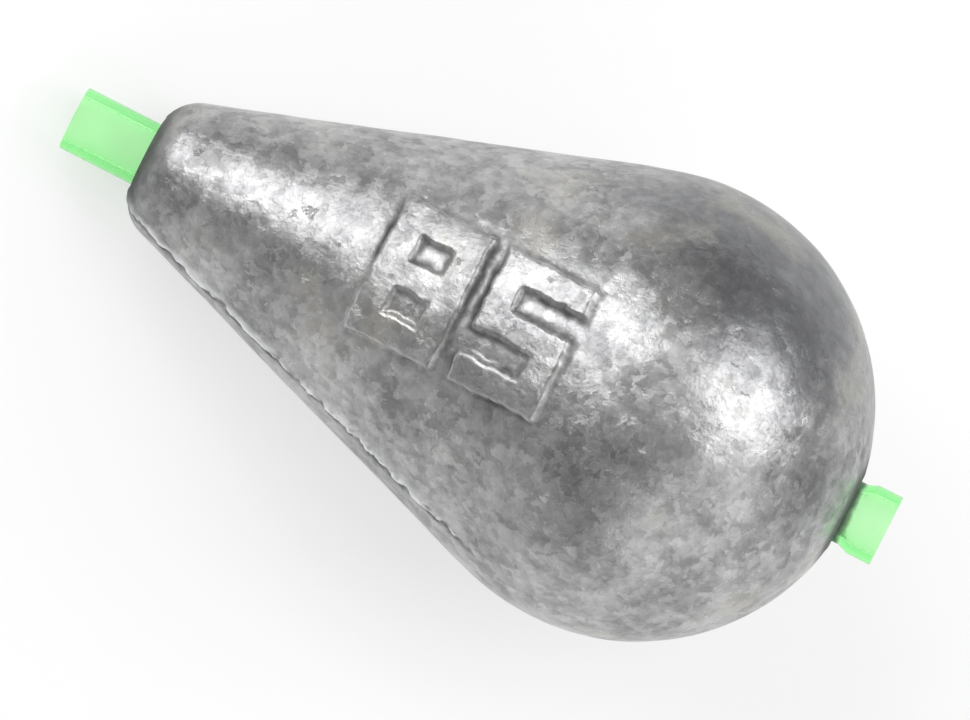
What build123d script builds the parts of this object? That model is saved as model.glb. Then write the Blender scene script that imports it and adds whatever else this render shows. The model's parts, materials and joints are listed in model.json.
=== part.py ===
from build123d import *
import math
import os

# In-line pear sinker, lying on its side as it does on a table.
# A lead pear is cast in a two-part mould round a core pin. A soft plastic tube with a
# flared tail is pushed through the cored hole, and the fishing line runs in the tube.
# Units are millimetres. Z is up from the table, X runs from the nose (narrow end)
# towards the tail (round end), and the origin is on the table under the middle.

# Lead pear
bulge_diameter = 22.2
body_length = 38.0  # nose face to the pole of the bulge
nose_diameter = 5.4  # before its edge is rounded
nose_round = 2.1
mould_shift = 0.56  # sideways step between the two mould halves at the parting plane
collar_wall = 0.5  # lip that the core pin leaves round the hole at the tail
collar_height = 0.25  # beyond the pole of the bulge
collar_blend_share = 0.9  # share of the collar's step that its hollow foot takes
mouth_bevel = 0.25  # countersunk mouth of the hole at the tail
mouth_angle = 90.0

# Line tube
tube_diameter = 3.2
tube_wall = 0.5
tube_clearance = 0.05  # between the tube and the cored hole, all round
nose_stub = 3.75  # how far the tube stands out of the nose
flare_widening = 0.2  # all round, at the tail end
flare_run = 0.6  # length over which the tube widens
flare_lip = 1.0  # straight length of the widened end
flare_gap = 0.1  # between the collar and the start of the flare

# Radii and places along the line axis, measured from the nose face
bulge_radius = bulge_diameter / 2
nose_radius = nose_diameter / 2
tube_radius = tube_diameter / 2
flare_radius = tube_radius + flare_widening
hole_radius = tube_radius + tube_clearance
mouth_radius = hole_radius + mouth_bevel
collar_radius = hole_radius + collar_wall
bulge_centre = body_length - bulge_radius
tail_face = body_length + collar_height
flare_start = tail_face + flare_gap
flare_end = flare_start + flare_run
tube_end = flare_end + flare_lip


def lean_of_tangent(distance, radius):
    """Angle from the axis to the line that touches the bulge and passes a point this far off."""
    return math.asin(bulge_radius / math.hypot(distance, radius)) - math.atan2(radius, distance)


# The flank is a cone from the nose that runs smoothly into the bulge.
flank_angle = lean_of_tangent(bulge_centre, nose_radius)
shoulder = (
    bulge_centre - bulge_radius * math.sin(flank_angle),
    bulge_radius * math.cos(flank_angle),
)
collar_angle = math.asin(collar_radius / bulge_radius)
bulge_arc = 90 + math.degrees(flank_angle - collar_angle)
collar_step = tail_face - bulge_centre - bulge_radius * math.cos(collar_angle)

# Lying down, the bulge and either the flank or the rim of the tube touch the table.
lie_angle = min(flank_angle, lean_of_tangent(bulge_centre + nose_stub, tube_radius))
rise = math.sin(lie_angle)
reach = math.cos(lie_angle)
lowest_x = -nose_stub * reach - tube_radius * rise
highest_x = max(tube_end * reach + flare_radius * rise, bulge_centre * reach + bulge_radius)

# The line plane holds the line axis (its X) and the parting line; its Z is the mould's draw.
line_plane = Plane(
    origin=(-(lowest_x + highest_x) / 2, 0, bulge_radius - bulge_centre * rise),
    x_dir=(reach, 0, rise),
    z_dir=(-rise, 0, reach),
)


# The lead pear: two half turns of one outline, a step apart, with the cored hole
with BuildPart() as lead_body:
    for side in (1, -1):
        axis_point = line_plane.from_local_coords((0, side * mould_shift / 2, 0))
        half_plane = Plane(axis_point, x_dir=line_plane.x_dir, z_dir=line_plane.z_dir)
        with BuildSketch(half_plane) as outline:
            with BuildLine():
                flank = Polyline((0, 0), (0, nose_radius), shoulder)
                bulge = JernArc(flank @ 1, flank % 1, bulge_radius, -bulge_arc)
                collar = Polyline(bulge @ 1, (tail_face, collar_radius), (tail_face, 0))
                Line(collar @ 1, flank @ 0)
            make_face()
            nose_corner = outline.vertices().sort_by_distance((0, nose_radius))[0]
            fillet(nose_corner, nose_round)
            collar_foot = outline.vertices().sort_by_distance(bulge @ 1)[0]
            fillet(collar_foot, collar_step * collar_blend_share)
        revolve(axis=Axis(axis_point, line_plane.x_dir * side), revolution_arc=180)
    tail_plane = Plane(line_plane.from_local_coords((tail_face, 0, 0)), z_dir=line_plane.x_dir)
    with Locations(tail_plane):
        CounterSinkHole(hole_radius, mouth_radius, counter_sink_angle=mouth_angle)


def tube_side(straight_radius, end_radius):
    """One side of the tube's wall: straight, then an S-bend of two arcs, then the wide lip."""
    middle = ((flare_start + flare_end) / 2, (straight_radius + end_radius) / 2)
    straight = Line((-nose_stub, straight_radius), (flare_start, straight_radius))
    opening = TangentArc(straight @ 1, middle, tangent=straight % 1)
    closing = TangentArc(middle, (flare_end, end_radius), tangent=opening % 1)
    lip = Line(closing @ 1, (tube_end, end_radius))
    return straight @ 0, lip @ 1


# The line tube: one wall turned about the line axis
with BuildPart() as line_tube:
    with BuildSketch(line_plane):
        with BuildLine():
            outer_nose, outer_tail = tube_side(tube_radius, flare_radius)
            inner_nose, inner_tail = tube_side(tube_radius - tube_wall, flare_radius - tube_wall)
            Line(outer_nose, inner_nose)
            Line(outer_tail, inner_tail)
        make_face()
    revolve(axis=Axis(line_plane.origin, line_plane.x_dir))


os.makedirs("parts", exist_ok=True)
lead_body.part.label = "lead_body"
export_step(lead_body.part, "parts/lead_body.step")
line_tube.part.label = "line_tube"
export_step(line_tube.part, "parts/line_tube.step")
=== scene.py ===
import json
import math

import bmesh
import bpy
import numpy as np
from bpy.props import (
    FloatProperty,
    FloatVectorProperty,
    IntProperty,
    PointerProperty,
    StringProperty,
)
from mathutils import Matrix, Vector


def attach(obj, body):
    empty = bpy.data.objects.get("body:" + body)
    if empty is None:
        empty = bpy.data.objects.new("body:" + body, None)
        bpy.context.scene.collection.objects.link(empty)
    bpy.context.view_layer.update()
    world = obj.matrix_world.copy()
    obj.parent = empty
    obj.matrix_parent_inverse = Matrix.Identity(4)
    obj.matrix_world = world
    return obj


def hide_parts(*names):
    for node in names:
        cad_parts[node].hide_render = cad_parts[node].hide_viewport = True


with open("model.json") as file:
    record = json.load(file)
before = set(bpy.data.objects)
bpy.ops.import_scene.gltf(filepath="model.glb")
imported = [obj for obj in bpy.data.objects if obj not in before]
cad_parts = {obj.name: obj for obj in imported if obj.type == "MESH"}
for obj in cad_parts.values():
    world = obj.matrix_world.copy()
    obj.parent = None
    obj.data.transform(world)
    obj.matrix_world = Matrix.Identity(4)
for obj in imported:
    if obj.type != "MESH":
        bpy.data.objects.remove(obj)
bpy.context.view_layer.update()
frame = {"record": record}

bl_info = {
    "name": "In-line fishing sinker",
    "version": (1, 0, 0),
    "blender": (4, 5, 0),
    "location": "3D View > Sidebar > Sinker",
    "description": "A cast lead pear with a soft plastic line tube through it",
    "category": "Add Mesh",
}

MM = 0.001

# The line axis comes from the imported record: it runs from the nose to the tail.
LINE_BORE = next(m for m in frame["record"]["mounts"] if m["name"] == "line_bore")
LINE_AXIS = Vector(LINE_BORE["axis"]).normalized()
SIDE_AXIS = Vector((0, 1, 0))
DRAW_AXIS = LINE_AXIS.cross(SIDE_AXIS)
BORE_LENGTH = LINE_BORE["dims"]["length_mm"] * MM
TUBE_NOSE = Vector(LINE_BORE["pos_m"]) - LINE_AXIS * BORE_LENGTH / 2

# Where one side of the lead is painted darker as shade, seen from the middle of the bulge
SHADED_SIDE = (LINE_AXIS * 0.30 + SIDE_AXIS * 0.92 + DRAW_AXIS * 0.25).normalized()


def bulge_middle(pear, tube):
    """Middle of the bulge, on the line axis."""
    return TUBE_NOSE + LINE_AXIS * (tube.nose_stub + pear.body_length - pear.bulge_diameter / 2)


def linear(hex_colour):
    """Linear RGBA from an sRGB hex colour such as '#A0A0A2'."""
    parts = [int(hex_colour[i : i + 2], 16) / 255 for i in (1, 3, 5)]
    return [c / 12.92 if c <= 0.04045 else ((c + 0.055) / 1.055) ** 2.4 for c in parts] + [1.0]


class PearSizes(bpy.types.PropertyGroup):
    """Sizes of the lead pear."""

    bulge_diameter: FloatProperty(
        name="Bulge diameter", description="Across the round end",
        default=22.7 * MM, unit="LENGTH",
    )
    body_length: FloatProperty(
        name="Body length", description="From the nose face to the pole of the bulge",
        default=37.75 * MM, unit="LENGTH",
    )
    nose_diameter: FloatProperty(
        name="Nose diameter", description="Of the nose face before its edge is rounded",
        default=5.85 * MM, unit="LENGTH",
    )
    nose_round: FloatProperty(
        name="Nose rounding", description="Radius of the nose's edge",
        default=2.1 * MM, unit="LENGTH",
    )
    flatness: FloatProperty(
        name="Flatness", description="Share by which the casting is less high than wide",
        default=0.04, subtype="FACTOR",
    )
    mould_roll: FloatProperty(
        name="Mould roll", description="Turn of the parting plane about the line axis",
        default=math.radians(-22.0), subtype="ANGLE",
    )
    mould_step: FloatProperty(
        name="Mould step", description="Sideways step between the two mould halves",
        default=0.16 * MM, unit="LENGTH",
    )
    hole_diameter: FloatProperty(
        name="Hole diameter", description="Of the cored hole for the tube",
        default=3.3 * MM, unit="LENGTH",
    )
    mouth_bevel: FloatProperty(
        name="Mouth bevel", description="Bevel of the hole's mouth at the tail, measured at the pole",
        default=0.4 * MM, unit="LENGTH",
    )


class CastRelief(bpy.types.PropertyGroup):
    """What casting, handling and the mould left on the lead's skin."""

    figure: StringProperty(
        name="Weight figure", description="Plain number cast on the flank", default="85",
    )
    digit_width: FloatProperty(
        name="Digit width", description="Of one digit of the weight figure",
        default=4.4 * MM, unit="LENGTH",
    )
    digit_height: FloatProperty(
        name="Digit height", description="Of one digit of the weight figure",
        default=6.6 * MM, unit="LENGTH",
    )
    digit_stroke: FloatProperty(
        name="Digit stroke", description="Width of the bars of the weight figure",
        default=1.2 * MM, unit="LENGTH",
    )
    digit_gap: FloatProperty(
        name="Digit gap", description="Between two digits of the weight figure",
        default=1.1 * MM, unit="LENGTH",
    )
    figure_height: FloatProperty(
        name="Figure height", description="How far the weight figure stands up",
        default=0.38 * MM, unit="LENGTH",
    )
    figure_place: FloatProperty(
        name="Figure place", description="Middle of the weight figure, from the nose face",
        default=17.4 * MM, unit="LENGTH",
    )
    figure_shift: FloatProperty(
        name="Figure shift", description="Middle of the weight figure, to the side of the top",
        default=0.4 * MM, unit="LENGTH",
    )
    seam_end: FloatProperty(
        name="Seam end", description="Where the ridge at the parting line dies out, from the nose face",
        default=22.6 * MM, unit="LENGTH",
    )
    wave_size: FloatProperty(
        name="Wave size", description="Width of the slow waves where the metal froze unevenly",
        default=5.0 * MM, unit="LENGTH",
    )
    wave_depth: FloatProperty(
        name="Wave depth", description="Depth of the slow waves",
        default=0.07 * MM, unit="LENGTH",
    )
    pit_spacing: FloatProperty(
        name="Pit spacing", description="Distance between pits and knocks",
        default=1.7 * MM, unit="LENGTH",
    )
    pit_depth: FloatProperty(
        name="Pit depth", description="Depth of pits and knocks",
        default=0.07 * MM, unit="LENGTH",
    )
    flash_height: FloatProperty(
        name="Flash height", description="Ridge of metal left at the parting line",
        default=0.13 * MM, unit="LENGTH",
    )
    seed: IntProperty(
        name="Seed", description="Chooses where the waves and pits fall",
        default=4, min=0, subtype="UNSIGNED",
    )


class TubeSizes(bpy.types.PropertyGroup):
    """Sizes of the soft line tube."""

    diameter: FloatProperty(
        name="Tube diameter", description="Outside, along the straight part",
        default=3.2 * MM, unit="LENGTH",
    )
    wall: FloatProperty(
        name="Wall", description="Thickness of the tube's wall",
        default=0.5 * MM, unit="LENGTH",
    )
    nose_stub: FloatProperty(
        name="Nose stub", description="How far the tube stands out of the nose",
        default=3.87 * MM, unit="LENGTH",
    )
    flare_gap: FloatProperty(
        name="Flare gap", description="Between the pole of the bulge and the start of the flare",
        default=0.15 * MM, unit="LENGTH",
    )
    flare_widening: FloatProperty(
        name="Flare", description="How much the tail end widens all round",
        default=0.2 * MM, unit="LENGTH",
    )
    flare_run: FloatProperty(
        name="Flare run", description="Length over which the tail end widens",
        default=0.6 * MM, unit="LENGTH",
    )
    flare_lip: FloatProperty(
        name="Flare lip", description="Straight length of the widened end",
        default=1.19 * MM, unit="LENGTH",
    )


COLOUR = {"size": 4, "subtype": "COLOR", "min": 0, "max": 1}


class SinkerColours(bpy.types.PropertyGroup):
    """Colours of the two finishes and of the floor."""

    lead_dark: FloatVectorProperty(
        name="Lead, dark", description="Oxidised patches and hollows",
        default=linear("#848485"), **COLOUR,
    )
    lead_mid: FloatVectorProperty(
        name="Lead, middle", description="Most of the skin",
        default=linear("#BFBFC0"), **COLOUR,
    )
    # Painted shade: the darker colour for one side of the bulge
    lead_side_shade: FloatVectorProperty(
        name="Lead, oxide", description="The dullest zone, on one side of the bulge",
        default=linear("#6C6D6F"), **COLOUR,
    )
    # Also the painted highlight along the seam's ridge
    lead_bright_and_highlight: FloatVectorProperty(
        name="Lead, bright", description="Rubbed high spots and nicks",
        default=linear("#F2F3F4"), **COLOUR,
    )
    lead_stain: FloatVectorProperty(
        name="Lead, stain", description="Faint yellowish stains",
        default=linear("#C1BDAB"), **COLOUR,
    )
    # Dirt in the pits, and painted shade in the seam's gutter, round the figure's foot, at the hole's mouth
    # and in the tube's ring
    lead_dirt_and_shade: FloatVectorProperty(
        name="Lead, dirt", description="Dirt in pits, round the figure and at the hole's mouth",
        default=linear("#484849"), **COLOUR,
    )
    # Also the colour of the tube's painted glow
    tube_green_and_glow: FloatVectorProperty(
        name="Tube green", description="What a thick wall of the soft plastic lets through",
        default=linear("#20FF4A"), **COLOUR,
    )
    tube_skin: FloatVectorProperty(
        name="Tube skin", description="Faint tint of the soft plastic's surface",
        default=linear("#FAFCF6"), **COLOUR,
    )
    floor_white: FloatVectorProperty(
        name="Floor", description="The white table",
        default=linear("#F4F4F4"), **COLOUR,
    )


HALF = (0.5, 0.5, 0.5)  # middle of a noise or cell colour


def add(tree, kind, inputs=None, **settings):
    """Add a node: set its properties, then set or link its inputs.
    A node given as an input stands for its first live output."""
    made = tree.nodes.new(kind)
    for name, value in settings.items():
        setattr(made, name, value)
    for key, value in (inputs or {}).items():
        if isinstance(key, int):
            socket = made.inputs[key]
        else:
            socket = next(s for s in made.inputs if s.name == key and s.enabled)
        if isinstance(value, bpy.types.Node):
            value = next(s for s in value.outputs if s.enabled)
        if isinstance(value, bpy.types.NodeSocket):
            tree.links.new(value, socket)
        else:
            socket.default_value = value
    return made


def new_tree(name, inputs):
    """A Geometry Nodes tree with these named inputs after its geometry; returns it and its input node."""
    tree = bpy.data.node_groups.new(name, "GeometryNodeTree")
    tree.interface.new_socket("Geometry", in_out="INPUT", socket_type="NodeSocketGeometry")
    for label, kind in inputs:
        tree.interface.new_socket(label, in_out="INPUT", socket_type="NodeSocket" + kind)
    tree.interface.new_socket("Geometry", in_out="OUTPUT", socket_type="NodeSocketGeometry")
    return tree, tree.nodes.new("NodeGroupInput").outputs


def end_tree(tree, geometry, given):
    """Close a tree: real geometry, smooth shading and the finish."""
    real = add(tree, "GeometryNodeRealizeInstances", {"Geometry": geometry})
    smooth = add(tree, "GeometryNodeSetShadeSmooth", {"Geometry": real})
    finish = add(tree, "GeometryNodeSetMaterial", {"Geometry": smooth, "Material": given["Material"]})
    add(tree, "NodeGroupOutput", {"Geometry": finish})


def turned_tree():
    """Turns a profile line (X along the axis, Y radius) round a section line (a loop about the axis)."""
    tree, given = new_tree("Turned wall", [("Section", "Object"), ("Material", "Material")])
    section = add(tree, "GeometryNodeObjectInfo", {"Object": given["Section"]}).outputs["Geometry"]
    place = add(tree, "GeometryNodeInputPosition")
    rows = add(tree, "GeometryNodeAttributeDomainSize", {"Geometry": given["Geometry"]})
    columns = add(tree, "GeometryNodeAttributeDomainSize", {"Geometry": section})
    grid = add(tree, "GeometryNodeMeshGrid", {"Vertices X": rows, "Vertices Y": columns})
    index = add(tree, "GeometryNodeInputIndex")
    middle = add(tree, "ShaderNodeMath", {0: index, 1: 0.5}, operation="ADD")
    share = add(tree, "ShaderNodeMath", {0: middle, 1: columns}, operation="DIVIDE")
    row = add(tree, "ShaderNodeMath", {0: share}, operation="FLOOR")
    passed = add(tree, "ShaderNodeMath", {0: row, 1: columns}, operation="MULTIPLY")
    column = add(tree, "ShaderNodeMath", {0: index, 1: passed}, operation="SUBTRACT")
    line = add(tree, "GeometryNodeSampleIndex",
               {"Geometry": given["Geometry"], "Value": place, "Index": row},
               data_type="FLOAT_VECTOR")
    loop = add(tree, "GeometryNodeSampleIndex",
               {"Geometry": section, "Value": place, "Index": column}, data_type="FLOAT_VECTOR")
    line_xy = add(tree, "ShaderNodeSeparateXYZ", {0: line}).outputs
    loop_xy = add(tree, "ShaderNodeSeparateXYZ", {0: loop}).outputs
    side = add(tree, "ShaderNodeMath", {0: line_xy["Y"], 1: loop_xy["X"]}, operation="MULTIPLY")
    up = add(tree, "ShaderNodeMath", {0: line_xy["Y"], 1: loop_xy["Y"]}, operation="MULTIPLY")
    turned = add(tree, "ShaderNodeCombineXYZ", {0: line_xy["X"], 1: side, 2: up})
    wall = add(tree, "GeometryNodeSetPosition", {"Geometry": grid, "Position": turned})
    closed = add(tree, "GeometryNodeMergeByDistance", {"Geometry": wall, "Distance": 0.0005 * MM})
    outwards = add(tree, "GeometryNodeFlipFaces", {0: closed})
    end_tree(tree, outwards, given)
    return tree


# Bands of the cast relief, from where each starts to where it ends
RELIEF_START = (0.1 * MM, 0.6 * MM)  # past the hole, which stays smooth
MOUTH_SHADE = (0.6 * MM, 1.8 * MM)  # past the hole
FIGURE_SIDE = (0.04 * MM, 0.26 * MM)  # from the figure's bars
FOOT_START = (0.08 * MM, 0.22 * MM)  # from the figure's bars, where painted shade lies at the foot
FOOT_END = (0.28 * MM, 0.62 * MM)
SEAM_RIDGE = (0.08 * MM, 0.65 * MM)  # from the parting plane, on the upper half
SEAM_GUTTER = (0.07 * MM, 0.19 * MM)  # from the parting plane, on the lower half
SEAM_FADE = (-1.5 * MM, 1.0 * MM)  # along the line axis, about the seam's end
GUTTER_DEPTH = 0.06 * MM
FIGURE_WANDER = 0.45 * MM  # how far the worn edges of the figure stray
FIGURE_WEAR = 0.9 * MM  # width of that wear
FLASH_RAGS = 0.7 * MM  # width of the rags in the ridge


def relief_tree():
    """Steps the mould halves apart and gives the turned pear its waves, pits, seam and raised figure."""
    sizes = (
        "Hole radius", "Flatness", "Mould roll", "Mould step", "Seam end", "Wave size", "Wave depth",
        "Pit spacing", "Pit depth", "Flash height", "Figure height", "Figure place", "Figure shift", "Seed",
    )
    tree, given = new_tree("Cast relief", [
        *((label, "Float") for label in sizes), ("Figure plate", "Object"), ("Material", "Material"),
    ])
    place = add(tree, "GeometryNodeInputPosition")
    axis = add(tree, "ShaderNodeSeparateXYZ", {0: place}).outputs
    across = add(tree, "ShaderNodeCombineXYZ", {1: axis["Y"], 2: axis["Z"]})
    radius = add(tree, "ShaderNodeVectorMath", {0: across}, operation="LENGTH").outputs["Value"]
    past_hole = add(tree, "ShaderNodeMath", {0: radius, 1: given["Hole radius"]}, operation="SUBTRACT")
    skin = add(tree, "ShaderNodeMapRange", {0: past_hole, 1: RELIEF_START[0], 2: RELIEF_START[1]},
               interpolation_type="SMOOTHSTEP")

    # Painted shade round the hole's mouth
    mouth = add(tree, "ShaderNodeMapRange",
                {0: past_hole, 1: MOUTH_SHADE[0], 2: MOUTH_SHADE[1], 3: 1.0, 4: 0.0},
                interpolation_type="SMOOTHSTEP")

    # Slow waves and shallow dents, inwards only
    wave_scale = add(tree, "ShaderNodeMath", {0: 1.0, 1: given["Wave size"]}, operation="DIVIDE")
    wave = add(tree, "ShaderNodeTexNoise",
               {"Vector": place, "W": given["Seed"], "Scale": wave_scale, "Detail": 3.0, "Roughness": 0.5},
               noise_dimensions="4D")
    wave_level = add(tree, "ShaderNodeMapRange", {0: wave, 1: 0.3, 2: 0.7, 3: 0.0, 4: -1.0})
    waves = add(tree, "ShaderNodeMath", {0: wave_level, 1: given["Wave depth"]}, operation="MULTIPLY")

    # Pits and knocks: some of a scatter of cells, each its own width
    pit_scale = add(tree, "ShaderNodeMath", {0: 1.0, 1: given["Pit spacing"]}, operation="DIVIDE")
    cells = add(tree, "ShaderNodeTexVoronoi",
                {"Vector": place, "W": given["Seed"], "Scale": pit_scale}, voronoi_dimensions="4D")
    chance = add(tree, "FunctionNodeSeparateColor", {0: cells.outputs["Color"]}).outputs
    chosen = add(tree, "ShaderNodeMath", {0: chance[0], 1: 0.45}, operation="GREATER_THAN")
    width = add(tree, "ShaderNodeMapRange", {0: chance[1], 3: 0.16, 4: 0.42})
    hollow = add(tree, "ShaderNodeMapRange",
                 {0: cells.outputs["Distance"], 1: 0.08, 2: width, 3: 1.0, 4: 0.0},
                 interpolation_type="SMOOTHSTEP")
    pit = add(tree, "ShaderNodeMath", {0: hollow, 1: chosen}, operation="MULTIPLY")
    pit_drop = add(tree, "ShaderNodeMath", {0: given["Pit depth"], 1: -1.0}, operation="MULTIPLY")
    pits = add(tree, "ShaderNodeMath", {0: pit, 1: pit_drop}, operation="MULTIPLY")

    # The raised weight figure on top of the flank, with steep sides
    plate = add(tree, "GeometryNodeObjectInfo", {"Object": given["Figure plate"]}).outputs["Geometry"]
    facing = add(tree, "ShaderNodeVectorRotate", {"Vector": place, "Angle": given["Mould roll"]},
                 rotation_type="X_AXIS")
    level = add(tree, "ShaderNodeSeparateXYZ", {0: facing}).outputs
    along = add(tree, "ShaderNodeMath", {0: axis["X"], 1: given["Figure place"]}, operation="SUBTRACT")
    aside = add(tree, "ShaderNodeMath", {0: level["Y"], 1: given["Figure shift"]}, operation="SUBTRACT")
    square = add(tree, "ShaderNodeCombineXYZ", {0: along, 1: aside})
    wear = add(tree, "ShaderNodeTexNoise", {"Vector": place, "Scale": 1 / FIGURE_WEAR, "Detail": 3.0})
    wander = add(tree, "ShaderNodeVectorMath", {0: wear.outputs["Color"], 1: HALF}, operation="SUBTRACT")
    level_wander = add(tree, "ShaderNodeVectorMath",
                       {0: wander, 1: (FIGURE_WANDER, FIGURE_WANDER, 0.0), 2: square},
                       operation="MULTIPLY_ADD")
    near = add(tree, "GeometryNodeProximity", {0: plate, "Sample Position": level_wander},
               target_element="FACES").outputs["Distance"]
    slope = add(tree, "ShaderNodeMapRange",
                {0: near, 1: FIGURE_SIDE[0], 2: FIGURE_SIDE[1], 3: 1.0, 4: 0.0},
                interpolation_type="SMOOTHSTEP")
    foot_end = add(tree, "ShaderNodeMapRange",
                   {0: near, 1: FOOT_END[0], 2: FOOT_END[1], 3: 1.0, 4: 0.0},
                   interpolation_type="SMOOTHSTEP")
    foot_start = add(tree, "ShaderNodeMapRange", {0: near, 1: FOOT_START[0], 2: FOOT_START[1]},
                     interpolation_type="SMOOTHSTEP")
    foot_band = add(tree, "ShaderNodeMath", {0: foot_end, 1: foot_start}, operation="MULTIPLY")
    upper = add(tree, "ShaderNodeMath", {0: level["Z"], 1: 0.0}, operation="GREATER_THAN")
    raised = add(tree, "ShaderNodeMath", {0: slope, 1: upper}, operation="MULTIPLY")
    # Band at the foot of the figure's bars that takes painted shade
    foot = add(tree, "ShaderNodeMath", {0: foot_band, 1: upper}, operation="MULTIPLY")
    worn = add(tree, "ShaderNodeMapRange", {0: wave, 1: 0.35, 2: 0.65, 3: 0.55, 4: 1.0})
    full = add(tree, "ShaderNodeMath", {0: worn, 1: given["Figure height"]}, operation="MULTIPLY")
    figure = add(tree, "ShaderNodeMath", {0: raised, 1: full}, operation="MULTIPLY")

    # The parting line: a ragged ridge on the upper half's edge, painted bright as rubbed metal and as a
    # painted highlight, and a gutter below it, painted dark as the step's shadow; both die out at the bulge
    off_line = add(tree, "ShaderNodeMath", {0: axis["Z"]}, operation="ABSOLUTE")
    upper_half = add(tree, "ShaderNodeMath", {0: axis["Z"], 1: 0.0}, operation="GREATER_THAN")
    to_end = add(tree, "ShaderNodeMath", {0: axis["X"], 1: given["Seam end"]}, operation="SUBTRACT")
    lasting = add(tree, "ShaderNodeMapRange",
                  {0: to_end, 1: SEAM_FADE[0], 2: SEAM_FADE[1], 3: 1.0, 4: 0.0},
                  interpolation_type="SMOOTHSTEP")
    near_line = add(tree, "ShaderNodeMapRange",
                    {0: off_line, 1: SEAM_RIDGE[0], 2: SEAM_RIDGE[1], 3: 1.0, 4: 0.0},
                    interpolation_type="SMOOTHSTEP")
    on_upper = add(tree, "ShaderNodeMath", {0: near_line, 1: upper_half}, operation="MULTIPLY")
    seam = add(tree, "ShaderNodeMath", {0: on_upper, 1: lasting}, operation="MULTIPLY")
    close_by = add(tree, "ShaderNodeMapRange",
                   {0: off_line, 1: SEAM_GUTTER[0], 2: SEAM_GUTTER[1], 3: 1.0, 4: 0.0})
    lower_half = add(tree, "ShaderNodeMath", {0: axis["Z"], 1: 0.0}, operation="LESS_THAN")
    on_lower = add(tree, "ShaderNodeMath", {0: close_by, 1: lower_half}, operation="MULTIPLY")
    gutter = add(tree, "ShaderNodeMath", {0: on_lower, 1: lasting}, operation="MULTIPLY")
    ragged = add(tree, "ShaderNodeTexNoise", {"Vector": place, "Scale": 1 / FLASH_RAGS, "Detail": 4.0})
    uneven = add(tree, "ShaderNodeMapRange", {0: ragged, 1: 0.38, 2: 0.62, 3: 0.0, 4: 1.5})
    ridge = add(tree, "ShaderNodeMath", {0: uneven, 1: given["Flash height"]}, operation="MULTIPLY")
    flash = add(tree, "ShaderNodeMath", {0: ridge, 1: seam}, operation="MULTIPLY")
    broken = add(tree, "ShaderNodeMapRange", {0: ragged, 1: 0.40, 2: 0.54, 3: 0.1, 4: 1.0})
    # Mask for the ridge's bright colour: rubbed metal and painted highlight
    rubbed_and_highlit = add(tree, "ShaderNodeMath", {0: seam, 1: broken}, operation="MULTIPLY")
    # Mask for the gutter's dark colour: painted shadow of the step
    gutter_shadow = add(tree, "ShaderNodeMath", {0: gutter, 1: broken}, operation="MULTIPLY")
    gutter_drop = add(tree, "ShaderNodeMath", {0: gutter, 1: -GUTTER_DEPTH}, operation="MULTIPLY")

    # All of it acts along the skin's normal, and the halves step apart sideways
    dented = add(tree, "ShaderNodeMath", {0: waves, 1: pits}, operation="ADD")
    sunk = add(tree, "ShaderNodeMath", {0: dented, 1: gutter_drop}, operation="ADD")
    stood = add(tree, "ShaderNodeMath", {0: figure, 1: flash}, operation="ADD")
    total = add(tree, "ShaderNodeMath", {0: sunk, 1: stood}, operation="ADD")
    on_skin = add(tree, "ShaderNodeMath", {0: total, 1: skin}, operation="MULTIPLY")
    normal = add(tree, "GeometryNodeInputNormal")
    relief = add(tree, "ShaderNodeVectorMath", {0: normal, "Scale": on_skin}, operation="SCALE")
    half = add(tree, "ShaderNodeMath", {0: axis["Z"]}, operation="SIGN")
    held = add(tree, "ShaderNodeMath", {0: half, 1: lasting}, operation="MULTIPLY")
    eased = add(tree, "ShaderNodeMath", {0: held, 1: skin}, operation="MULTIPLY")
    step = add(tree, "ShaderNodeMath", {0: given["Mould step"], 1: 0.5}, operation="MULTIPLY")
    stepped = add(tree, "ShaderNodeMath", {0: eased, 1: step}, operation="MULTIPLY")
    shift = add(tree, "ShaderNodeCombineXYZ", {1: stepped})
    cast = add(tree, "ShaderNodeVectorMath", {0: relief, 1: shift}, operation="ADD")

    # The casting is a little less high than wide, but its hole stays round
    fall = add(tree, "ShaderNodeMath", {0: level["Z"], 1: given["Flatness"]}, operation="MULTIPLY")
    fallen = add(tree, "ShaderNodeMath", {0: fall, 1: skin}, operation="MULTIPLY")
    lowered = add(tree, "ShaderNodeCombineXYZ", {2: fallen})
    in_mould = add(tree, "ShaderNodeVectorRotate", {"Vector": lowered, "Angle": given["Mould roll"]},
                   rotation_type="X_AXIS", invert=True)
    offset = add(tree, "ShaderNodeVectorMath", {0: cast, 1: in_mould}, operation="SUBTRACT")

    # What the finish needs to know travels with the mesh
    marked = given["Geometry"]
    for label, value in (("foot", foot), ("hollow", pit), ("seam", rubbed_and_highlit), ("gutter", gutter_shadow),
                         ("mouth", mouth)):
        marked = add(tree, "GeometryNodeStoreNamedAttribute",
                     {"Geometry": marked, "Name": label, "Value": value}, data_type="FLOAT", domain="POINT")
    moved = add(tree, "GeometryNodeSetPosition", {"Geometry": marked, "Offset": offset})
    end_tree(tree, moved, given)
    return tree


def line_mesh(name, points):
    """An object that is one line of points, for the trees to read."""
    mesh = bpy.data.meshes.new(name)
    mesh.from_pydata([tuple(p) for p in points], [(i, i + 1) for i in range(len(points) - 1)], [])
    made = bpy.data.objects.new(name, mesh)
    bpy.context.scene.collection.objects.link(made)
    return made


def give_tree(piece, tree, values):
    """Put a tree on a piece and set its named inputs by their identifiers."""
    modifier = piece.modifiers.new(tree.name, "NODES")
    modifier.node_group = tree
    sockets = {s.name: s.identifier for s in tree.interface.items_tree if s.in_out == "INPUT"}
    for label, value in values.items():
        modifier[sockets[label]] = value


# Bars of each digit: top, upper right, lower right, bottom, lower left, upper left, middle
DIGIT_BARS = {
    "0": "1111110", "1": "0110000", "2": "1101101", "3": "1111001", "4": "0110011",
    "5": "1011011", "6": "1011111", "7": "1110000", "8": "1111111", "9": "1111011",
}


def figure_length(relief):
    """Length of the whole weight figure."""
    return len(relief.figure) * (relief.digit_width + relief.digit_gap) - relief.digit_gap


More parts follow.
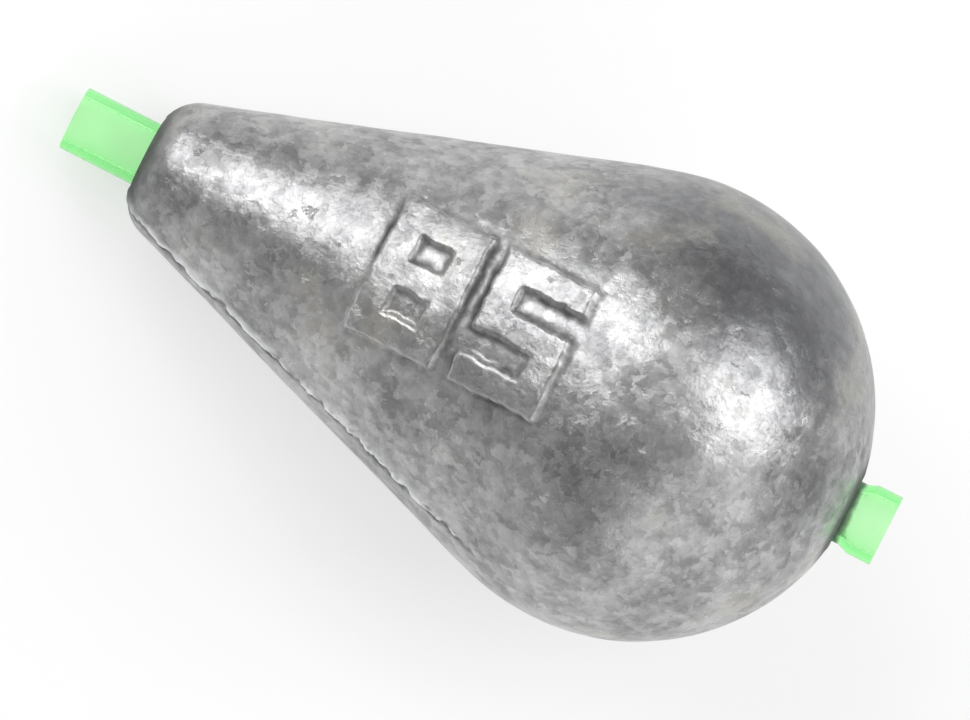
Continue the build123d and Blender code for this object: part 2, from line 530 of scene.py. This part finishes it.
def figure_plate(relief):
    """A flat object of square bars that shows the weight figure, its middle at the origin."""
    width, height, stroke = relief.digit_width, relief.digit_height, relief.digit_stroke
    low, high = -height / 2, height / 2
    bars = [
        (0, high - stroke, width, high), (width - stroke, 0, width, high),
        (width - stroke, low, width, 0), (0, low, width, low + stroke),
        (0, low, stroke, 0), (0, 0, stroke, high), (0, -stroke / 2, width, stroke / 2),
    ]
    corners, faces = [], []
    for place, digit in enumerate(relief.figure):
        left = place * (width + relief.digit_gap) - figure_length(relief) / 2
        for (x0, y0, x1, y1), shown in zip(bars, DIGIT_BARS[digit]):
            if shown == "1":
                faces.append(range(len(corners), len(corners) + 4))
                corners += [(left + x, y, 0) for x, y in ((x0, y0), (x1, y0), (x1, y1), (x0, y1))]
    mesh = bpy.data.meshes.new("figure_plate")
    mesh.from_pydata(corners, [], faces)
    made = bpy.data.objects.new("figure_plate", mesh)
    bpy.context.scene.collection.objects.link(made)
    return made


def settle(piece, helpers, roll=0.0):
    """Turn a piece's trees into a plain, closed mesh in its place, and drop its helpers."""
    graph = bpy.context.evaluated_depsgraph_get()
    made = bpy.data.meshes.new_from_object(
        piece.evaluated_get(graph), preserve_all_data_layers=True, depsgraph=graph
    )
    piece.modifiers.clear()
    piece.data = made
    shell = bmesh.new()
    shell.from_mesh(made)
    bmesh.ops.recalc_face_normals(shell, faces=shell.faces)
    if any(len(edge.link_faces) != 2 for edge in shell.edges):
        raise RuntimeError(f"{piece.name} is not closed")
    shell.to_mesh(made)
    shell.free()
    nose_stub = bpy.context.scene.sinker_tube.nose_stub
    axes = Matrix((LINE_AXIS, SIDE_AXIS, DRAW_AXIS)).transposed().to_4x4()
    nose_face = Matrix.Translation(TUBE_NOSE + LINE_AXIS * nose_stub)
    made.transform(nose_face @ axes @ Matrix.Rotation(roll, 4, "X"))
    for helper in helpers:
        bpy.data.objects.remove(helper)


def spread(start, stop, step):
    """Even values from start up to, but not with, stop, about a step apart."""
    count = max(1, round(abs(stop - start) / step))
    return np.linspace(start, stop, count, endpoint=False)


def pear_profile(pear, relief):
    """Points round the pear's wall: down the hole to the nose, over flank and bulge, back to the tail."""
    coarse, fine, nose_step, hole_step = 0.23 * MM, 0.10 * MM, 0.15 * MM, 3.0 * MM
    figure_margin = 0.5 * MM
    # The mouth's edge is worn round: how far it moves into the bevel, and how far the rounding reaches
    # from there on to the bulge and down the bevel
    edge_worn, edge_above, edge_below = 0.17 * MM, 0.12 * MM, 0.1 * MM
    bulge, nose, hole = pear.bulge_diameter / 2, pear.nose_diameter / 2, pear.hole_diameter / 2
    centre = pear.body_length - bulge
    lean = math.asin(bulge / math.hypot(centre, nose)) - math.atan2(nose, centre)
    rim = nose - pear.nose_round * (1 - math.sin(lean)) / math.cos(lean)

    def on_nose(turn):
        return pear.nose_round * (1 - math.cos(turn)), rim + pear.nose_round * math.sin(turn)

    def on_bulge(turn):
        return centre + bulge * math.cos(turn), bulge * math.sin(turn)

    first_turn = math.asin((hole - rim) / pear.nose_round)
    seat = pear.body_length - pear.mouth_bevel
    points = [(x, hole) for x in spread(seat, on_nose(first_turn)[0], hole_step)]
    points += [on_nose(t) for t in spread(first_turn, math.pi / 2 - lean, nose_step / pear.nose_round)]
    flank_start, flank_end = on_nose(math.pi / 2 - lean), on_bulge(math.pi / 2 + lean)
    figure_reach = figure_length(relief) / 2 + figure_margin
    figure_end = min(relief.figure_place + figure_reach, flank_end[0] - coarse)
    marks = [flank_start[0], relief.figure_place - figure_reach, figure_end, flank_end[0]]
    for low, high, step in zip(marks, marks[1:], (coarse, fine, coarse)):
        points += [(x, nose + x * math.tan(lean)) for x in spread(low, high, step)]
    # The bulge ends at the worn edge, and the bevel follows
    edge = hole + pear.mouth_bevel - edge_worn
    last_turn = math.asin((edge + edge_above) / bulge)
    points += [on_bulge(t) for t in spread(math.pi / 2 + lean, last_turn, coarse / bulge)]
    rim_x, rim_y = on_bulge(last_turn)
    corner_x, corner_y = on_bulge(math.asin(edge / bulge))
    foot_y = edge - edge_below
    foot_x = seat + foot_y - hole
    for t in spread(0, 1, 0.2):
        points.append((
            rim_x * (1 - t) ** 2 + 2 * corner_x * t * (1 - t) + foot_x * t * t,
            rim_y * (1 - t) ** 2 + 2 * corner_y * t * (1 - t) + foot_y * t * t,
        ))
    points += [(foot_x, foot_y), points[0]]
    return [(x, y, 0) for x, y in points]


def mould_section(pear):
    """Angles round the pear from the parting plane: close at the seam and under the figure."""
    near_seam = [0.08, 0.35, 0.7, 1.15, 1.75, 2.6]
    far_seam = [180 - a for a in reversed(near_seam)]
    first, last = 3.8, 176.2
    coarse, fine, underside = 1.4, 0.75, 1.9
    figure_half = 36
    top = 90 - math.degrees(pear.mould_roll)
    marks = [first, top - figure_half, top + figure_half, last]
    upper = list(near_seam)
    for low, high, step in zip(marks, marks[1:], (coarse, fine, coarse)):
        upper += list(spread(low, high, step))
    upper += far_seam
    lower = near_seam + list(spread(first, last, underside)) + far_seam
    turns = np.radians(upper + [180 + a for a in lower] + upper[:1])
    return [(math.cos(t), math.sin(t), 0) for t in turns]


def new_material(name):
    """An empty material; returns it, its tree and the place on the object."""
    material = bpy.data.materials.new(name)
    material.use_nodes = True
    tree = material.node_tree
    tree.nodes.clear()
    return material, tree, add(tree, "ShaderNodeTexCoord").outputs["Object"]


def cast_lead(colours, bulge):
    """Gravity-cast lead, left as it came from the mould: a dull grey oxide skin over bright soft metal.
    The eye gets a broad sheen broken by small flat flakes, darker oxide patches, bright nicks and faint
    yellow stains. Painted shade lies on one side of the bulge, in the seam's gutter, round the figure's
    foot and at the hole's mouth, and a painted highlight lies along the seam's ridge."""
    material, tree, where = new_material("Cast lead, oxidised and rubbed")

    # Oxide: slow patches about 4 mm wide, broken by a mottle under 1 mm
    patches = add(tree, "ShaderNodeTexNoise", {
        "Vector": where, "Scale": 1 / (4.2 * MM), "Detail": 6.0, "Roughness": 0.62})
    mottle = add(tree, "ShaderNodeTexNoise", {
        "Vector": where, "Scale": 1 / (0.8 * MM), "Detail": 6.0, "Roughness": 0.68})
    grain = add(tree, "ShaderNodeTexNoise", {
        "Vector": where, "Scale": 1 / (0.24 * MM), "Detail": 2.0, "Roughness": 0.6})

    # Flakes: ragged cells about 0.5 mm wide, each with its own grey and its own lean
    ragged = add(tree, "ShaderNodeVectorMath", {0: mottle.outputs["Color"], 1: HALF}, operation="SUBTRACT")
    pushed = add(tree, "ShaderNodeVectorMath", {0: ragged, 1: [1.6 * MM] * 3, 2: where},
                 operation="MULTIPLY_ADD")
    flakes = add(tree, "ShaderNodeTexVoronoi", {"Vector": pushed, "Scale": 1 / (0.5 * MM)})
    own = add(tree, "ShaderNodeVectorMath", {0: flakes.outputs["Color"], 1: HALF}, operation="SUBTRACT")
    within = add(tree, "ShaderNodeVectorMath", {0: pushed, 1: flakes.outputs["Position"]},
                 operation="SUBTRACT")
    lean = add(tree, "ShaderNodeVectorMath", {0: own, 1: within}, operation="DOT_PRODUCT").outputs["Value"]
    flake_grey = add(tree, "ShaderNodeSeparateColor", {0: flakes.outputs["Color"]}).outputs[0]

    oxide = add(tree, "ShaderNodeMix", {"Factor": 0.42, 2: patches, 3: mottle}, data_type="FLOAT")
    flaked = add(tree, "ShaderNodeMix", {"Factor": 0.12, 2: oxide, 3: flake_grey}, data_type="FLOAT")
    oxide_level = add(tree, "ShaderNodeMapRange", {0: flaked, 1: 0.38, 2: 0.61})
    base = add(tree, "ShaderNodeMix", {
        "Factor": oxide_level, 6: colours.lead_dark, 7: colours.lead_mid}, data_type="RGBA")

    # A ragged zone on one side of the bulge, painted darker as shade
    from_bulge = add(tree, "ShaderNodeVectorMath", {0: where, 1: bulge}, operation="SUBTRACT")
    outwards = add(tree, "ShaderNodeVectorMath", {0: from_bulge}, operation="NORMALIZE")
    facing = add(tree, "ShaderNodeVectorMath", {0: outwards, 1: SHADED_SIDE},
                 operation="DOT_PRODUCT").outputs["Value"]
    ragged_zone = add(tree, "ShaderNodeMath", {0: oxide, 1: -0.7, 2: facing}, operation="MULTIPLY_ADD")
    zone = add(tree, "ShaderNodeMapRange", {0: ragged_zone, 1: 0.08, 2: 0.60, 3: 0.0, 4: 0.80},
               interpolation_type="SMOOTHSTEP")
    # Painted shade on one side of the bulge
    side_shaded = add(tree, "ShaderNodeMix", {
        "Factor": zone, 6: base.outputs[2], 7: colours.lead_side_shade}, data_type="RGBA")

    # Faint yellowish stains
    stains = add(tree, "ShaderNodeTexNoise", {
        "Vector": where, "Scale": 1 / (4.5 * MM), "Detail": 5.0, "Roughness": 0.6})
    stain_level = add(tree, "ShaderNodeMapRange", {0: stains, 1: 0.54, 2: 0.74, 3: 0.0, 4: 0.4})
    recoloured = add(tree, "ShaderNodeMix", {
        "Factor": stain_level, 6: side_shaded.outputs[2], 7: colours.lead_stain}, data_type="RGBA")

    # Bright nicks, longer than wide and lying two ways, and the seam's ridge, painted bright as rubbed
    # metal and as a painted highlight
    nicks, rubbed_and_highlit = [], 0.0
    for turn, spacing in ((0.6, 1.3), (2.1, 1.0)):
        laid = add(tree, "ShaderNodeMapping", {
            "Vector": pushed, "Rotation": (0.3, turn, turn), "Scale": (0.45, 1.0, 1.0)})
        cells = add(tree, "ShaderNodeTexVoronoi", {"Vector": laid, "Scale": 1 / (spacing * MM)})
        chance = add(tree, "ShaderNodeSeparateColor", {0: cells.outputs["Color"]}).outputs
        width = add(tree, "ShaderNodeMapRange", {0: chance[0], 1: 0.5, 2: 1.0, 3: 0.0, 4: 0.26})
        nick = add(tree, "ShaderNodeMapRange", {
            0: cells.outputs["Distance"], 1: 0.0, 2: width, 3: 1.0, 4: 0.0},
            interpolation_type="SMOOTHSTEP")
        fresh = add(tree, "ShaderNodeMapRange", {0: nick, 1: 0.55, 2: 0.95, 3: 0.0, 4: 0.45})
        rubbed_and_highlit = add(tree, "ShaderNodeMath", {0: rubbed_and_highlit, 1: fresh}, operation="MAXIMUM")
        nicks.append(nick)
    seam = add(tree, "ShaderNodeAttribute", attribute_name="seam").outputs["Fac"]
    seam_rub_and_highlight = add(tree, "ShaderNodeMath", {0: seam, 1: 0.9}, operation="MULTIPLY")
    rubbed_and_highlit = add(tree, "ShaderNodeMath", {0: rubbed_and_highlit, 1: seam_rub_and_highlight}, operation="MAXIMUM")
    bright = add(tree, "ShaderNodeMix", {
        "Factor": rubbed_and_highlit, 6: recoloured.outputs[2], 7: colours.lead_bright_and_highlight}, data_type="RGBA")

    # Dark and matt: dirt in the pits, and painted shade in the gutter, at the hole's mouth and in places
    # round the figure's foot
    # Painted shade at the foot of the figure's bars, broken into patches
    patchy_foot_shade = add(tree, "ShaderNodeMapRange", {0: patches, 1: 0.40, 2: 0.58, 3: 1.0, 4: 0.1})
    dirt_and_shade = 0.0
    for place, share in (("foot", patchy_foot_shade), ("hollow", 0.35), ("gutter", 0.8), ("mouth", 0.9)):
        mark = add(tree, "ShaderNodeAttribute", attribute_name=place).outputs["Fac"]
        held = add(tree, "ShaderNodeMath", {0: mark, 1: share}, operation="MULTIPLY")
        dirt_and_shade = add(tree, "ShaderNodeMath", {0: dirt_and_shade, 1: held}, operation="MAXIMUM")
    skin = add(tree, "ShaderNodeMix", {
        "Factor": dirt_and_shade, 6: bright.outputs[2], 7: colours.lead_dirt_and_shade}, data_type="RGBA")
    clean_rough = add(tree, "ShaderNodeMapRange", {0: flaked, 1: 0.36, 2: 0.64, 3: 0.36, 4: 0.27})
    rough = add(tree, "ShaderNodeMix", {"Factor": dirt_and_shade, 2: clean_rough, 3: 0.7}, data_type="FLOAT")
    metal = add(tree, "ShaderNodeMapRange", {0: dirt_and_shade, 3: 0.75, 4: 0.1})

    # Heights in metres: leaning flakes, lumps, mottle and grain, then the nicks
    lumps = add(tree, "ShaderNodeTexNoise", {
        "Vector": where, "Scale": 1 / (1.9 * MM), "Detail": 2.0, "Roughness": 0.5})
    height = 0.0
    fields = [(lean, 0.055), (lumps, 0.05 * MM), (mottle, 0.026 * MM), (grain, 0.006 * MM)]
    for field, depth in fields + [(nick, -0.03 * MM) for nick in nicks]:
        height = add(tree, "ShaderNodeMath", {0: field, 1: depth, 2: height}, operation="MULTIPLY_ADD")
    bump = add(tree, "ShaderNodeBump", {"Strength": 1.0, "Distance": 1.0, "Height": height})
    shader = add(tree, "ShaderNodeBsdfPrincipled", {
        "Base Color": skin.outputs[2], "Metallic": metal, "Roughness": rough, "Normal": bump})
    add(tree, "ShaderNodeOutputMaterial", {"Surface": shader})
    return material


RING_DEPTH = 0.13 * MM  # how far inside the tail's mouth the ring of painted shade on the tube has its middle


def soft_plastic(colours, ring_middle):
    """Soft extruded plastic tube, tinted green and let through by light.
    The wall soaks up red and blue, so the eye gets a pale green middle and deep green edges, where it looks
    along the wall. Its refraction is set low, or the wall wouldn't show. The dye is fluorescent, and the
    tube is given a faint green glow of its own, painted light that stands in for that. A dark ring of
    painted shade lies on the tube where it comes out at the tail, for the shade in the lead's mouth."""
    material, tree, where = new_material("Soft plastic tube, translucent green")
    cloud = add(tree, "ShaderNodeTexNoise", {"Vector": where, "Scale": 1 / (1.6 * MM), "Detail": 3.0})
    level = add(tree, "ShaderNodeMapRange", {0: cloud, 1: 0.35, 2: 0.65, 3: 0.96, 4: 1.0})
    tint = add(tree, "ShaderNodeVectorMath", {0: list(colours.tube_skin)[:3], "Scale": level},
               operation="SCALE")
    rough = add(tree, "ShaderNodeMapRange", {0: cloud, 1: 0.35, 2: 0.65, 3: 0.09, 4: 0.16})
    fine = add(tree, "ShaderNodeTexNoise", {"Vector": where, "Scale": 1 / (0.3 * MM), "Detail": 2.0})
    bump = add(tree, "ShaderNodeBump", {"Strength": 0.3, "Distance": 0.03 * MM, "Height": fine})

    # The ring of painted shade: dark, ragged, and letting less light through
    apart = add(tree, "ShaderNodeVectorMath", {0: where, 1: ring_middle}, operation="SUBTRACT")
    along = add(tree, "ShaderNodeVectorMath", {0: apart, 1: LINE_AXIS}, operation="DOT_PRODUCT")
    away = add(tree, "ShaderNodeMath", {0: along}, operation="ABSOLUTE")
    ragged = add(tree, "ShaderNodeMath", {0: cloud, 1: -0.9 * MM, 2: away}, operation="MULTIPLY_ADD")
    ring = add(tree, "ShaderNodeMapRange", {0: ragged, 1: -0.40 * MM, 2: -0.14 * MM, 3: 0.9, 4: 0.0})
    recoloured = add(tree, "ShaderNodeMix", {"Factor": ring, 6: tint, 7: colours.lead_dirt_and_shade},
                  data_type="RGBA")
    clear = add(tree, "ShaderNodeMapRange", {0: ring, 3: 0.94, 4: 0.3})
    # Painted light: a faint green glow of the tube's own
    shader = add(tree, "ShaderNodeBsdfPrincipled", {
        "Base Color": recoloured.outputs[2], "Roughness": rough, "IOR": 1.10, "Normal": bump,
        "Transmission Weight": clear, "Emission Color": colours.tube_green_and_glow, "Emission Strength": 0.04})
    depth = add(tree, "ShaderNodeVolumeAbsorption", {"Color": colours.tube_green_and_glow, "Density": 0.46 / MM})
    add(tree, "ShaderNodeOutputMaterial", {"Surface": shader, "Volume": depth})
    return material


class SINKER_OT_lead_body(bpy.types.Operator):
    """Cast the lead pear with its parting line, pits and raised weight figure"""

    bl_idname = "sinker.lead_body"
    bl_label = "Cast lead body"

    def execute(self, context):
        pear, relief = context.scene.sinker_pear, context.scene.sinker_relief
        finish = cast_lead(context.scene.sinker_colours, bulge_middle(pear, context.scene.sinker_tube))
        body = line_mesh("cast_lead_pear", pear_profile(pear, relief))
        section = line_mesh("mould_section", mould_section(pear))
        plate = figure_plate(relief)
        give_tree(body, turned_tree(), {"Section": section, "Material": finish})
        give_tree(body, relief_tree(), {
            "Hole radius": pear.hole_diameter / 2, "Flatness": pear.flatness, "Mould roll": pear.mould_roll,
            "Mould step": pear.mould_step, "Seam end": relief.seam_end,
            "Wave size": relief.wave_size, "Wave depth": relief.wave_depth,
            "Pit spacing": relief.pit_spacing, "Pit depth": relief.pit_depth,
            "Flash height": relief.flash_height, "Figure height": relief.figure_height,
            "Figure place": relief.figure_place, "Figure shift": relief.figure_shift,
            "Seed": float(relief.seed), "Figure plate": plate, "Material": finish,
        })
        settle(body, [section, plate], pear.mould_roll)
        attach(body, "lead")
        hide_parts("lead_body")
        return {"FINISHED"}


TUBE_SIDES = 96  # flats round the tube


def tube_profile(tube, pear):
    """Points round the tube's wall: along the outside to the flared tail, back along the inside."""
    radius = tube.diameter / 2
    start = pear.body_length + tube.flare_gap
    end = start + tube.flare_run
    tail = end + tube.flare_lip
    corner = 0.08 * MM
    cut = corner * 0.3  # how far the corner's middle lies inside its edges
    straight_step, lip_step, bend_points = 0.5 * MM, 0.2 * MM, 9

    def side(base):
        bend = [(start + tube.flare_run * t, base + tube.flare_widening * t * t * (3 - 2 * t))
                for t in np.linspace(0, 1, bend_points)]
        straight = [(x, base) for x in spread(-tube.nose_stub + corner, start, straight_step)]
        lip_places = spread(end + lip_step / 2, tail - corner, lip_step)
        return straight + bend + [(x, base + tube.flare_widening) for x in lip_places]

    outer, inner = side(radius), side(radius - tube.wall)
    flare, bore = radius + tube.flare_widening, radius - tube.wall
    tail_end = [
        (tail - corner, flare), (tail - cut, flare - cut), (tail, flare - corner),
        (tail, flare - tube.wall + corner), (tail - cut, flare - tube.wall + cut),
        (tail - corner, flare - tube.wall),
    ]
    nose = -tube.nose_stub
    inner_nose = [(nose + cut, bore + cut)]
    nose_end = [(nose, bore + corner), (nose, radius - corner), (nose + cut, radius - cut)]
    points = outer + tail_end + inner[::-1] + inner_nose + nose_end + outer[:1]
    return [(x, y, 0) for x, y in points]


class SINKER_OT_line_tube(bpy.types.Operator):
    """Make the soft line tube with its flared tail"""

    bl_idname = "sinker.line_tube"
    bl_label = "Line tube"

    def execute(self, context):
        tube, pear = context.scene.sinker_tube, context.scene.sinker_pear
        ring_middle = TUBE_NOSE + LINE_AXIS * (tube.nose_stub + pear.body_length - RING_DEPTH)
        finish = soft_plastic(context.scene.sinker_colours, ring_middle)
        piece = line_mesh("soft_line_tube", tube_profile(tube, pear))
        turns = np.linspace(0, math.tau, TUBE_SIDES + 1)
        section = line_mesh("tube_section", [(math.cos(t), math.sin(t), 0) for t in turns])
        give_tree(piece, turned_tree(), {"Section": section, "Material": finish})
        settle(piece, [section])
        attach(piece, "liner")
        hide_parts("line_tube")
        return {"FINISHED"}


class StageSettings(bpy.types.PropertyGroup):
    """Camera, light and table."""

    tail_tilt: FloatProperty(
        name="Tail tilt", description="How far the tail leans towards the camera",
        default=math.radians(1.5), subtype="ANGLE",
    )
    picture_turn: FloatProperty(
        name="Picture turn", description="How far the line axis runs down to the right in the picture",
        default=math.radians(27.0), subtype="ANGLE",
    )
    picture_width: FloatProperty(
        name="Picture width", description="What the picture's width covers at the bulge",
        default=46.33 * MM, unit="LENGTH",
    )
    bulge_right: FloatProperty(
        name="Bulge right", description="From the picture's middle, as a share of the picture's width",
        default=153.3 / 970, subtype="FACTOR",
    )
    bulge_down: FloatProperty(
        name="Bulge down", description="From the picture's middle, as a share of the picture's width",
        default=45.0 / 970, subtype="FACTOR",
    )
    lens: FloatProperty(
        name="Lens", description="Focal length in millimetres", default=800.0, unit="CAMERA",
    )
    lamp_distance: FloatProperty(
        name="Lamp distance", description="From the bulge to each softbox", default=0.6, unit="LENGTH",
    )
    nose_light: FloatProperty(
        name="Nose light", description="Power of the softbox on the nose side",
        default=2.6, unit="POWER",
    )
    tail_light: FloatProperty(
        name="Tail light", description="Power of the softbox on the tail side",
        default=2.5, unit="POWER",
    )
    fill_light: FloatProperty(
        name="Fill light", description="Power of the low softbox beside the sinker",
        default=2.3, unit="POWER",
    )
    left_light: FloatProperty(
        name="Left light", description="Power of the low softbox on the seam's side",
        default=0.28, unit="POWER",
    )
    top_light: FloatProperty(
        name="Top light", description="Power of the small softbox beside the camera",
        default=0.38, unit="POWER",
    )
    sky: FloatProperty(
        name="Sky", description="Strength of the even light all round", default=0.11, subtype="FACTOR",
    )
    table_reach: FloatProperty(
        name="Table reach", description="From the table's middle to its edges", default=0.6, unit="LENGTH",
    )


def softbox(name, target, direction, distance, width, watts):
    """A square area light that faces the target."""
    data = bpy.data.lights.new(name, "AREA")
    data.shape = "SQUARE"
    data.size = width
    data.energy = watts
    lamp = bpy.data.objects.new(name, data)
    bpy.context.scene.collection.objects.link(lamp)
    lamp.location = target + direction.normalized() * distance
    lamp.rotation_mode = "QUATERNION"
    lamp.rotation_quaternion = (-direction).to_track_quat("-Z", "Y")


def white_laminate(colours):
    """Pressed white laminate with a satin face: an even white with a faint cloud and soft shadows.
    Seen, mirrored or looked through, it is mostly plain white, but it keeps the shadow."""
    material, tree, where = new_material("White laminate, satin")
    cloud = add(tree, "ShaderNodeTexNoise", {"Vector": where, "Scale": 1 / (30 * MM), "Detail": 3.0})
    level = add(tree, "ShaderNodeMapRange", {0: cloud, 1: 0.3, 2: 0.7, 3: 0.985, 4: 1.0})
    white = add(tree, "ShaderNodeVectorMath", {0: list(colours.floor_white)[:3], "Scale": level},
                operation="SCALE")
    face = add(tree, "ShaderNodeBsdfPrincipled", {
        "Base Color": white, "Roughness": 0.9, "Specular IOR Level": 0.1})
    path = add(tree, "ShaderNodeLightPath").outputs
    seen = path["Is Camera Ray"]
    for other in ("Is Glossy Ray", "Is Transmission Ray"):
        seen = add(tree, "ShaderNodeMath", {0: seen, 1: path[other]}, operation="MAXIMUM")
    share = add(tree, "ShaderNodeMath", {0: seen, 1: 0.6}, operation="MULTIPLY")
    plain = add(tree, "ShaderNodeEmission", {"Color": (1, 1, 1, 1), "Strength": 1.0})
    mixed = add(tree, "ShaderNodeMixShader", {0: share, 1: face, 2: plain})
    add(tree, "ShaderNodeOutputMaterial", {"Surface": mixed})
    return material


class SINKER_OT_stage(bpy.types.Operator):
    """Set up the white table, the lights and the camera"""

    bl_idname = "sinker.stage"
    bl_label = "Stage"

    def execute(self, context):
        scene, stage = context.scene, context.scene.sinker_stage
        pear, tube = scene.sinker_pear, scene.sinker_tube
        scene.view_settings.view_transform = "Standard"

        # The camera looks down at the bulge, which sits right of and below the picture's middle.
        bulge = bulge_middle(pear, tube)
        lean = math.asin(LINE_AXIS.z) - stage.tail_tilt
        view = Vector((-math.sin(lean), 0, math.cos(lean)))
        run = Vector((math.cos(lean), 0, math.sin(lean)))
        turn = stage.picture_turn
        right = run * math.cos(turn) + SIDE_AXIS * math.sin(turn)
        up = view.cross(right)
        aim = bulge + (up * stage.bulge_down - right * stage.bulge_right) * stage.picture_width
        data = bpy.data.cameras.new("camera")
        data.lens = stage.lens
        data.sensor_width = 36.0
        camera = bpy.data.objects.new("camera", data)
        scene.collection.objects.link(camera)
        distance = stage.picture_width * data.lens / data.sensor_width
        turned = Matrix((right, up, view)).transposed().to_4x4()
        camera.matrix_world = Matrix.Translation(aim + view * distance) @ turned
        data.clip_start, data.clip_end = 1 * MM, 10.0
        scene.camera = camera

        # Two softboxes give the long sheen on the flank and the second one on the bulge. A wide low one
        # fills the side away from them, a weak one lights the seam, and a small one stands by the camera.
        for name, direction, width, watts in (
            ("nose_softbox", view * 0.755 - run * 0.55 + SIDE_AXIS * 0.35, 0.46, stage.nose_light),
            ("tail_softbox", view * 0.572 + run * 0.693 + SIDE_AXIS * 0.439, 0.50, stage.tail_light),
            ("fill_softbox", view * 0.30 - SIDE_AXIS * 0.62 + run * 0.72, 0.80, stage.fill_light),
            ("left_softbox", view * 0.29 - SIDE_AXIS * 0.80 - run * 0.53, 0.50, stage.left_light),
            ("top_softbox", view * 0.906 + right * 0.344 + up * 0.246, 0.40, stage.top_light),
        ):
            softbox(name, bulge, direction, stage.lamp_distance, width, watts)
        world = bpy.data.worlds.new("studio")
        world.use_nodes = True
        sky = world.node_tree.nodes["Background"].inputs
        sky["Color"].default_value = (1, 1, 1, 1)
        sky["Strength"].default_value = stage.sky
        scene.world = world

        reach = stage.table_reach
        mesh = bpy.data.meshes.new("table")
        corners = [(-reach, -reach, 0), (reach, -reach, 0), (reach, reach, 0), (-reach, reach, 0)]
        mesh.from_pydata(corners, [], [(0, 1, 2, 3)])
        mesh.materials.append(white_laminate(scene.sinker_colours))
        table = bpy.data.objects.new("table", mesh)
        scene.collection.objects.link(table)
        return {"FINISHED"}


class SINKER_PT_panel(bpy.types.Panel):
    """Lists the sinker's pieces and their sizes"""

    bl_label = "Sinker"
    bl_idname = "SINKER_PT_panel"
    bl_space_type = "VIEW_3D"
    bl_region_type = "UI"
    bl_category = "Sinker"

    def draw(self, context):
        for operator, groups in (
            ("sinker.lead_body", ("sinker_pear", "sinker_relief")),
            ("sinker.line_tube", ("sinker_tube",)),
            ("sinker.stage", ("sinker_stage", "sinker_colours")),
        ):
            box = self.layout.box()
            box.operator(operator)
            for group in groups:
                settings = getattr(context.scene, group)
                for name in settings.__annotations__:
                    box.prop(settings, name)


GROUPS = {
    "sinker_pear": PearSizes,
    "sinker_relief": CastRelief,
    "sinker_tube": TubeSizes,
    "sinker_colours": SinkerColours,
    "sinker_stage": StageSettings,
}
CLASSES = (
    *GROUPS.values(), SINKER_OT_lead_body, SINKER_OT_line_tube, SINKER_OT_stage, SINKER_PT_panel,
)


def register():
    for cls in CLASSES:
        bpy.utils.register_class(cls)
    for name, group in GROUPS.items():
        setattr(bpy.types.Scene, name, PointerProperty(type=group))


def unregister():
    for name in GROUPS:
        delattr(bpy.types.Scene, name)
    for cls in reversed(CLASSES):
        bpy.utils.unregister_class(cls)


def main():
    register()
    bpy.ops.sinker.stage()
    bpy.ops.sinker.lead_body()
    bpy.ops.sinker.line_tube()


if __name__ == "__main__":
    main()
